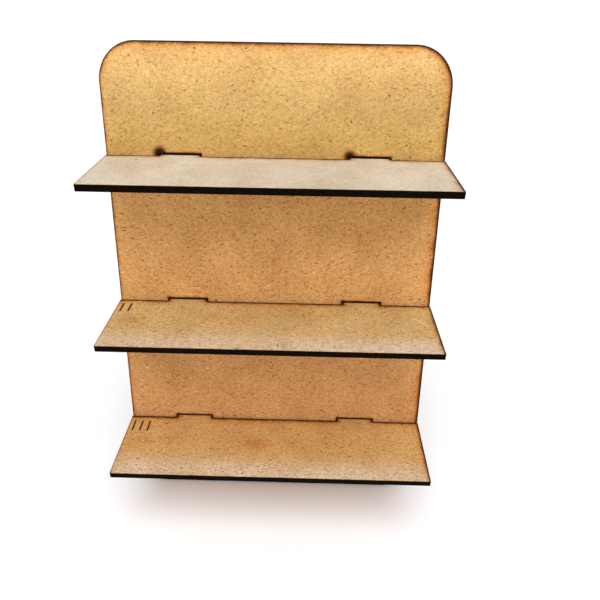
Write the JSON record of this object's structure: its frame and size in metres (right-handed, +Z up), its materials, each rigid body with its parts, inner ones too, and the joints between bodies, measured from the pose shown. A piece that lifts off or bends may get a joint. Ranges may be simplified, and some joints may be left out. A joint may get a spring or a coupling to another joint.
{
  "type": "paint rack",
  "caption": "Free-standing tiered rack for small paint pots: a leaning back board with level shelves, held by tabs in slots and by notched legs behind.",
  "frame": {"origin": "on the table, at the middle of the bounding box in width and depth", "axes": "+Z up, +X to the right and +Y to the back as seen by someone facing the shelves"},
  "size_m": [0.15, 0.0814, 0.215],
  "materials": {
    "board_fibreboard": "raw medium-density fibreboard, golden tan, with scorched laser-cut edges",
    "shelf_top_fibreboard": "raw medium-density fibreboard, pale beige face, with scorched laser-cut edges",
    "shelf_middle_fibreboard": "raw medium-density fibreboard, tan face, with scorched laser-cut edges",
    "shelf_bottom_fibreboard": "raw medium-density fibreboard, tan face, with scorched laser-cut edges",
    "leg_left_fibreboard": "raw medium-density fibreboard, tan face, with scorched laser-cut edges",
    "leg_right_fibreboard": "raw medium-density fibreboard, tan face, with scorched laser-cut edges"
  },
  "bodies": {
    "root": {"back_board": "board_fibreboard", "shelf_top": "shelf_top_fibreboard", "shelf_middle": "shelf_middle_fibreboard", "shelf_bottom": "shelf_bottom_fibreboard", "rear_leg_left": "leg_left_fibreboard", "rear_leg_right": "leg_right_fibreboard"}
  },
  "joints": []
}
